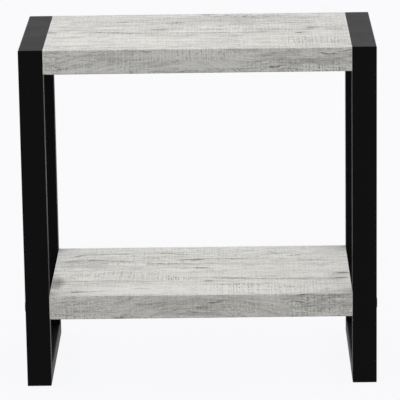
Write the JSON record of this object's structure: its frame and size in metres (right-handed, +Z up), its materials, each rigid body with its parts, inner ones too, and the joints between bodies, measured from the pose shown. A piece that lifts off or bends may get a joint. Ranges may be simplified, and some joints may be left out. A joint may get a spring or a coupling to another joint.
{
  "type": "end table with shelf",
  "caption": "End table with a lower shelf: thick wood-look boards held between closed rectangular side frames of black steel tube.",
  "frame": {"origin": "on the floor, under the middle of the table", "axes": "+X along the boards to the right seen from the front, -Y the front, +Z up"},
  "size_m": [0.5816, 0.3, 0.571],
  "materials": {
    "powder_coat": "satin",
    "decor_foil": "satin",
    "fibreboard": "matte",
    "chipboard": "matte",
    "comb_paper": "matte",
    "zinc_steel": "satin",
    "insert_steel": "satin",
    "black_plastic": "matte"
  },
  "bodies": {
    "root": {"bolt_washers": "zinc_steel", "foot_glides": "black_plastic", "frame_bolts": "zinc_steel", "hole_plugs": "black_plastic", "left_bottom_rail": "powder_coat", "left_front_leg": "powder_coat", "left_rear_leg": "powder_coat", "left_top_rail": "powder_coat", "right_bottom_rail": "powder_coat", "right_front_leg": "powder_coat", "right_rear_leg": "powder_coat", "right_top_rail": "powder_coat", "shelf_front_batten": "chipboard", "shelf_honeycomb_core": "comb_paper", "shelf_left_batten": "chipboard", "shelf_left_end_band": "decor_foil", "shelf_lower_skin": "fibreboard", "shelf_rear_batten": "chipboard", "shelf_right_batten": "chipboard", "shelf_right_end_band": "decor_foil", "shelf_upper_skin": "fibreboard", "shelf_wrap": "decor_foil", "threaded_inserts": "insert_steel", "top_front_batten": "chipboard", "top_honeycomb_core": "comb_paper", "top_left_batten": "chipboard", "top_left_end_band": "decor_foil", "top_lower_skin": "fibreboard", "top_rear_batten": "chipboard", "top_right_batten": "chipboard", "top_right_end_band": "decor_foil", "top_upper_skin": "fibreboard", "top_wrap": "decor_foil"}
  },
  "joints": []
}
